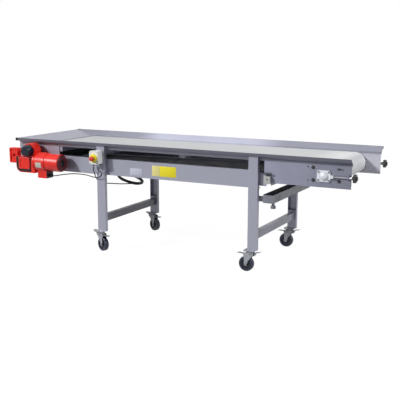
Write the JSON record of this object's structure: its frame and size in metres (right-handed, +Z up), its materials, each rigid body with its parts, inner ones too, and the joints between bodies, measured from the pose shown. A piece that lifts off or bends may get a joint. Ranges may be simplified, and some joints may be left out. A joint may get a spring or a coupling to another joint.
{
  "type": "mobile belt conveyor section",
  "caption": "Low flat belt conveyor on swivel castors, with flared side guards, a side-mounted worm gear motor, screw take-up, belt scraper and drip trough.",
  "frame": {"origin": "on the floor, under the centre of the whole footprint, measured without the free supply cord", "axes": "X along the conveyor from the drive end to the tail end, Y across it to the side away from the motor, Z up"},
  "size_m": [3.2212, 1.1164, 0.96],
  "materials": {
    "stainless": "satin brushed stainless sheet",
    "drum_steel": "plain turned steel",
    "zinc": "dull zinc-plated steel",
    "cast_zinc": "dull grey cast housing",
    "belt_white": "smooth off-white coated belt",
    "motor_red": "semi-gloss red paint",
    "worm_bronze": "machined bronze",
    "black_plastic": "fine-grained black moulding",
    "screw_black": "bright threaded rod with a black moulded star knob",
    "white_plastic": "white moulding",
    "yellow_plastic": "yellow moulding",
    "red_plastic": "red moulding",
    "tyre": "dark rubber tyre on a dark moulded hub",
    "cable": "matt black rubber sheath"
  },
  "bodies": {
    "frame": {"side_guard_near": "stainless", "side_guard_far": "stainless", "tail_panel_near": "stainless", "tail_panel_far": "stainless", "drive_panel_near": "stainless", "drive_panel_far": "stainless", "side_beam_near": "stainless", "side_beam_far": "stainless", "slider_bed": "stainless", "front_apron": "stainless", "leg_drive_near": "stainless", "leg_drive_far": "stainless", "leg_tail_near": "stainless", "leg_tail_far": "stainless", "brace_drive": "stainless", "brace_tail": "stainless", "belt": "belt_white", "drive_bearing_far": "cast_zinc", "gear_case": "motor_red", "motor_frame": "motor_red", "fan_cowl": "motor_red", "shaft_cap": "black_plastic", "torque_arm": "motor_red", "terminal_box": "motor_red", "switch_box": "white_plastic", "stop_collar": "yellow_plastic", "drip_trough": "stainless", "castor_drive_near_plate": "zinc", "castor_drive_far_plate": "zinc", "castor_tail_near_plate": "zinc", "castor_tail_far_plate": "zinc", "motor_lead": "cable", "supply_lead": "cable", "supply_coil": "cable", "supply_plug": "black_plastic"},
    "drive_drum": {"drive_drum": "drum_steel", "worm_wheel": "worm_bronze"},
    "rotor": {"rotor_shaft": "drum_steel"},
    "take_up": {"tail_bearing_near": "cast_zinc", "tail_bearing_far": "cast_zinc"},
    "tail_drum": {"tail_drum": "drum_steel"},
    "deflector": {"deflector_roller": "drum_steel"},
    "snub": {"snub_roller": "drum_steel"},
    "screw_near": {"tension_screw_near": "screw_black"},
    "screw_far": {"tension_screw_far": "screw_black"},
    "stop_button": {"stop_button": "red_plastic"},
    "scraper": {"scraper_shaft": "drum_steel", "scraper_blade": "white_plastic"},
    "castor_drive_near_fork": {"castor_drive_near_fork": "zinc"},
    "castor_drive_near_wheel": {"castor_drive_near_wheel": "tyre"},
    "castor_drive_near_pedal": {"castor_drive_near_pedal": "zinc"},
    "castor_drive_far_fork": {"castor_drive_far_fork": "zinc"},
    "castor_drive_far_wheel": {"castor_drive_far_wheel": "tyre"},
    "castor_drive_far_pedal": {"castor_drive_far_pedal": "zinc"},
    "castor_tail_near_fork": {"castor_tail_near_fork": "zinc"},
    "castor_tail_near_wheel": {"castor_tail_near_wheel": "tyre"},
    "castor_tail_near_pedal": {"castor_tail_near_pedal": "zinc"},
    "castor_tail_far_fork": {"castor_tail_far_fork": "zinc"},
    "castor_tail_far_wheel": {"castor_tail_far_wheel": "tyre"},
    "castor_tail_far_pedal": {"castor_tail_far_pedal": "zinc"}
  },
  "joints": [
    {"name": "drum_spin", "type": "hinge", "parent": "frame", "child": "drive_drum", "pos_m": [-1.36635, 0.06, 0.8617], "axis": [0, 1, 0], "continuous": true},
    {"name": "rotor_spin", "type": "hinge", "parent": "frame", "child": "rotor", "pos_m": [-1.20635, -0.455, 0.762], "axis": [1, 0, 0], "continuous": true},
    {"name": "take_up_slide", "type": "slide", "parent": "frame", "child": "take_up", "axis": [1, 0, 0], "range_m": [-0.012, 0]},
    {"name": "tail_spin", "type": "hinge", "parent": "take_up", "child": "tail_drum", "pos_m": [1.34665, 0.06, 0.8165], "axis": [0, 1, 0], "continuous": true},
    {"name": "deflector_spin", "type": "hinge", "parent": "frame", "child": "deflector", "pos_m": [-1.17635, 0.06, 0.7573], "axis": [0, 1, 0], "continuous": true},
    {"name": "snub_spin", "type": "hinge", "parent": "frame", "child": "snub", "pos_m": [0.83965, 0.06, 0.7342], "axis": [0, 1, 0], "continuous": true},
    {"name": "screw_near_turn", "type": "hinge", "parent": "frame", "child": "screw_near", "pos_m": [1.49365, -0.3853, 0.8165], "axis": [1, 0, 0], "range_deg": [0, 2468]},
    {"name": "screw_far_turn", "type": "hinge", "parent": "frame", "child": "screw_far", "pos_m": [1.49365, 0.5053, 0.8165], "axis": [1, 0, 0], "range_deg": [0, 2468]},
    {"name": "stop_press", "type": "slide", "parent": "frame", "child": "stop_button", "axis": [0, 1, 0], "range_m": [0, 0.006]},
    {"name": "scraper_swing", "type": "hinge", "parent": "frame", "child": "scraper", "pos_m": [0.90015, 0.06, 0.74], "axis": [0, 1, 0], "range_deg": [0, 15]},
    {"name": "castor_drive_near_swivel", "type": "hinge", "parent": "frame", "child": "castor_drive_near_fork", "pos_m": [-0.67935, -0.3856, 0.153], "axis": [0, 0, 1], "continuous": true},
    {"name": "castor_drive_near_roll", "type": "hinge", "parent": "castor_drive_near_fork", "child": "castor_drive_near_wheel", "pos_m": [-0.65116, -0.39586, 0.0625], "axis": [-0.342, -0.9397, 0], "continuous": true},
    {"name": "castor_drive_near_brake", "type": "hinge", "parent": "castor_drive_near_fork", "child": "castor_drive_near_pedal", "pos_m": [-0.66807, -0.3897, 0.139], "axis": [-0.342, -0.9397, 0], "range_deg": [0, 10]},
    {"name": "castor_drive_far_swivel", "type": "hinge", "parent": "frame", "child": "castor_drive_far_fork", "pos_m": [-0.67935, 0.5056, 0.153], "axis": [0, 0, 1], "continuous": true},
    {"name": "castor_drive_far_roll", "type": "hinge", "parent": "castor_drive_far_fork", "child": "castor_drive_far_wheel", "pos_m": [-0.65116, 0.49534, 0.0625], "axis": [-0.342, -0.9397, 0], "continuous": true},
    {"name": "castor_drive_far_brake", "type": "hinge", "parent": "castor_drive_far_fork", "child": "castor_drive_far_pedal", "pos_m": [-0.66807, 0.5015, 0.139], "axis": [-0.342, -0.9397, 0], "range_deg": [0, 10]},
    {"name": "castor_tail_near_swivel", "type": "hinge", "parent": "frame", "child": "castor_tail_near_fork", "pos_m": [0.76065, -0.3856, 0.153], "axis": [0, 0, 1], "continuous": true},
    {"name": "castor_tail_near_roll", "type": "hinge", "parent": "castor_tail_near_fork", "child": "castor_tail_near_wheel", "pos_m": [0.73065, -0.3856, 0.0625], "axis": [0, 1, 0], "continuous": true},
    {"name": "castor_tail_near_brake", "type": "hinge", "parent": "castor_tail_near_fork", "child": "castor_tail_near_pedal", "pos_m": [0.74865, -0.3856, 0.139], "axis": [0, 1, 0], "range_deg": [0, 10]},
    {"name": "castor_tail_far_swivel", "type": "hinge", "parent": "frame", "child": "castor_tail_far_fork", "pos_m": [0.76065, 0.5056, 0.153], "axis": [0, 0, 1], "continuous": true},
    {"name": "castor_tail_far_roll", "type": "hinge", "parent": "castor_tail_far_fork", "child": "castor_tail_far_wheel", "pos_m": [0.73065, 0.5056, 0.0625], "axis": [0, 1, 0], "continuous": true},
    {"name": "castor_tail_far_brake", "type": "hinge", "parent": "castor_tail_far_fork", "child": "castor_tail_far_pedal", "pos_m": [0.74865, 0.5056, 0.139], "axis": [0, 1, 0], "range_deg": [0, 10]}
  ],
  "couplings": [
    {"joint": "tail_spin", "follows": "drum_spin", "ratio": 0.47619},
    {"joint": "deflector_spin", "follows": "drum_spin", "ratio": 1.3333},
    {"joint": "snub_spin", "follows": "drum_spin", "ratio": -1.3333},
    {"joint": "rotor_spin", "follows": "drum_spin", "ratio": 15},
    {"joint": "screw_near_turn", "follows": "take_up_slide", "rad_per_m": -3589.6},
    {"joint": "screw_far_turn", "follows": "take_up_slide", "rad_per_m": -3589.6}
  ]
}
